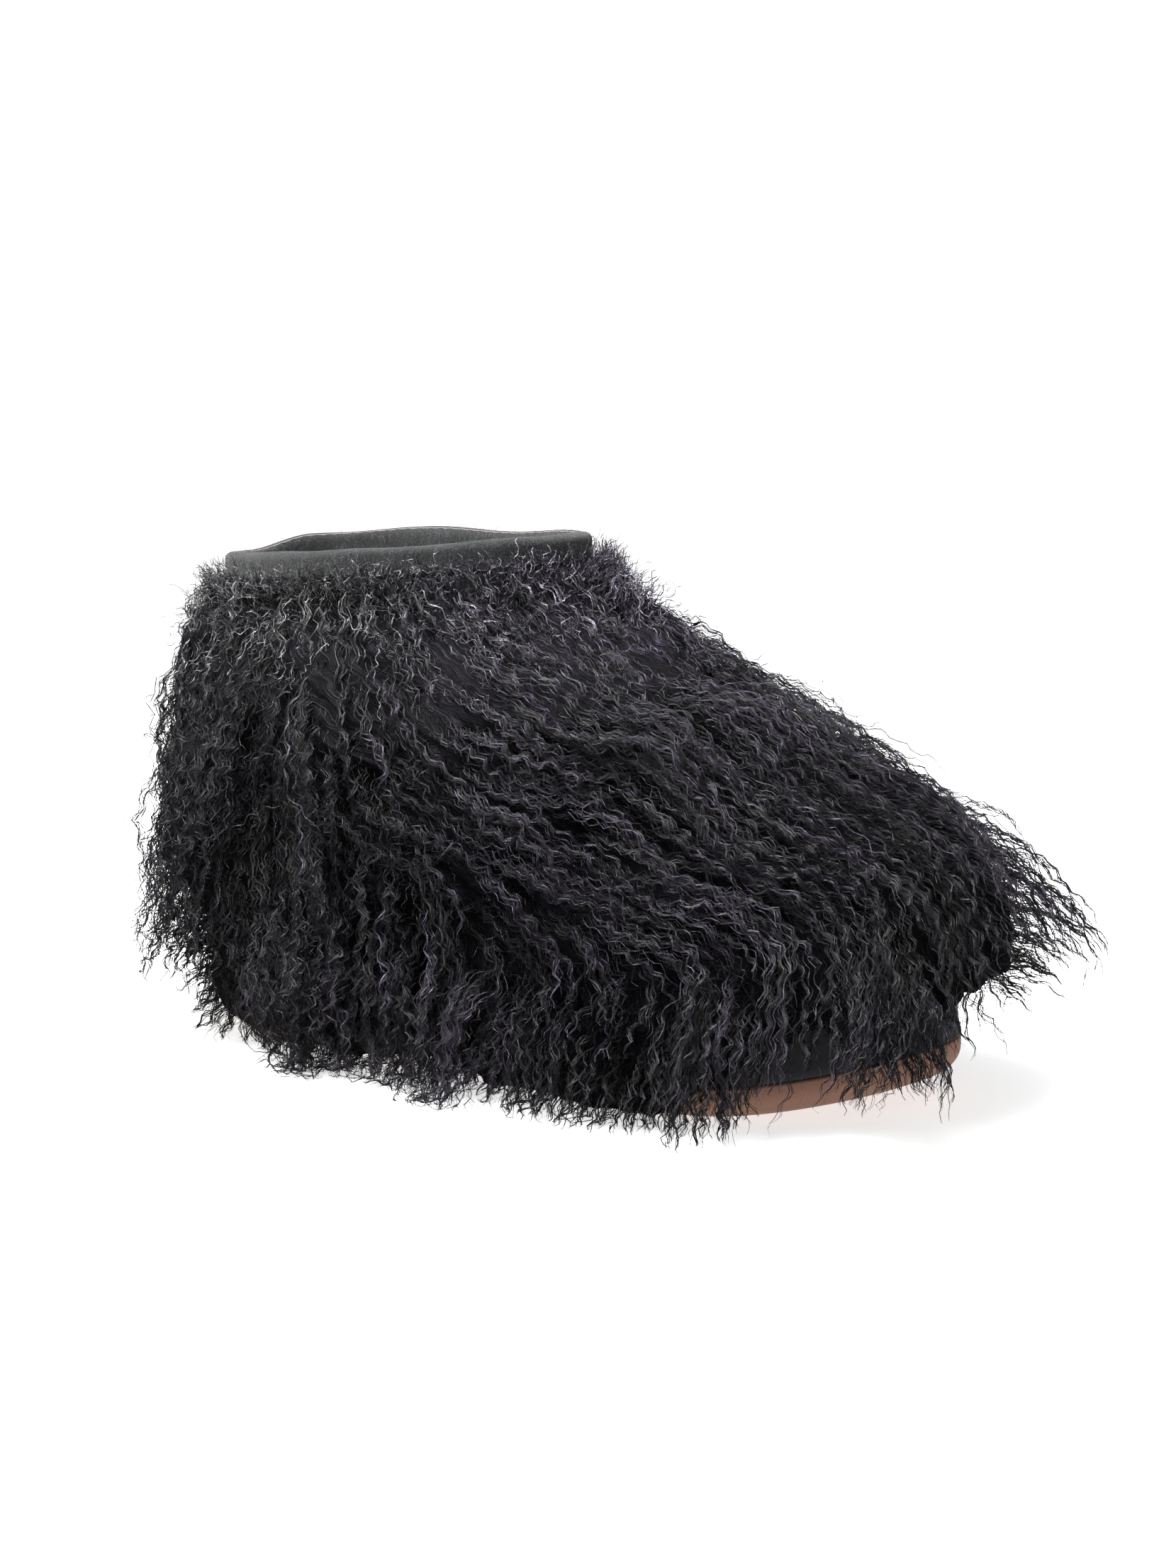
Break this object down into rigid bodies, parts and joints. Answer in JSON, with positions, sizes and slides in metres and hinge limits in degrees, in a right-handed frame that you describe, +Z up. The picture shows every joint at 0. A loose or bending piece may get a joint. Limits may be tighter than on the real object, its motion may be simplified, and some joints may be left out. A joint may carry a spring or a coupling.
{
  "type": "slipper",
  "caption": "Right-foot ankle slipper: long curly black fur upper, thick felt collar, smooth black rand band and a tan sole that turns up at the toe.",
  "frame": {"origin": "middle of the heel's flat resting spot, on the floor", "axes": "+Z up; the toe points to -Y; the outer side of the right foot is -X"},
  "size_m": [0.1514, 0.3201, 0.1712],
  "materials": {
    "sole_tan": "smooth tan leather, matt, a little darker where it curves under",
    "footbed_felt": "charcoal wool felt",
    "rand_black": "smooth black, matt satin",
    "fur_black": "long crimped lamb fur, black with a soft grey sheen",
    "collar_felt": "thick charcoal-black felt with a rolled edge"
  },
  "bodies": {
    "root": {"outsole": "sole_tan", "insole": "footbed_felt", "rand": "rand_black", "upper": "fur_black", "collar": "collar_felt"}
  },
  "joints": []
}
